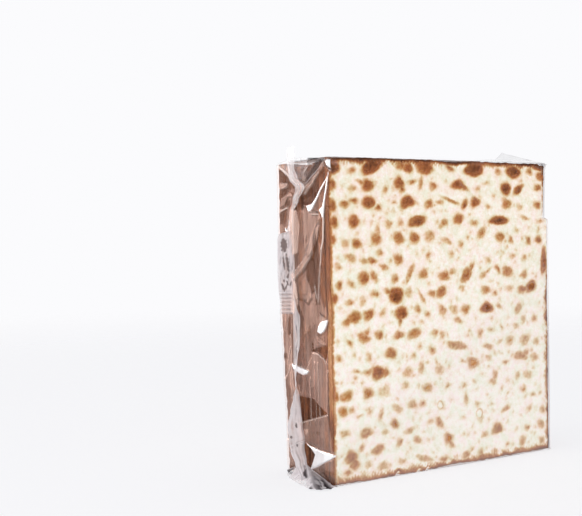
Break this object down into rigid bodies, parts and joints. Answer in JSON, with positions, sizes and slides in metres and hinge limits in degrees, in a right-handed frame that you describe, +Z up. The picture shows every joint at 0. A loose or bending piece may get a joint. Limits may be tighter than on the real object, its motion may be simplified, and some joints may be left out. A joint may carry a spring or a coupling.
{
  "type": "wrapped matzo stack",
  "caption": "Stack of square-cut baked matzo sheets standing on edge, sealed in clear film with tucked ends and folded end seals.",
  "frame": {"origin": "middle of the underside, on the surface that the stack stands on", "axes": "+X along the sheets' width, +Y through the stack away from the front sheet's face, +Z up along the sheets' height"},
  "size_m": [0.1886, 0.0528, 0.1896],
  "materials": {
    "baked_matzo": "dry baked dough, cream with brown blisters and browned rims",
    "clear_film": "thin clear wrapping film, glossy and creased"
  },
  "bodies": {
    "root": {"wrapped_stack": "baked_matzo"}
  },
  "joints": []
}
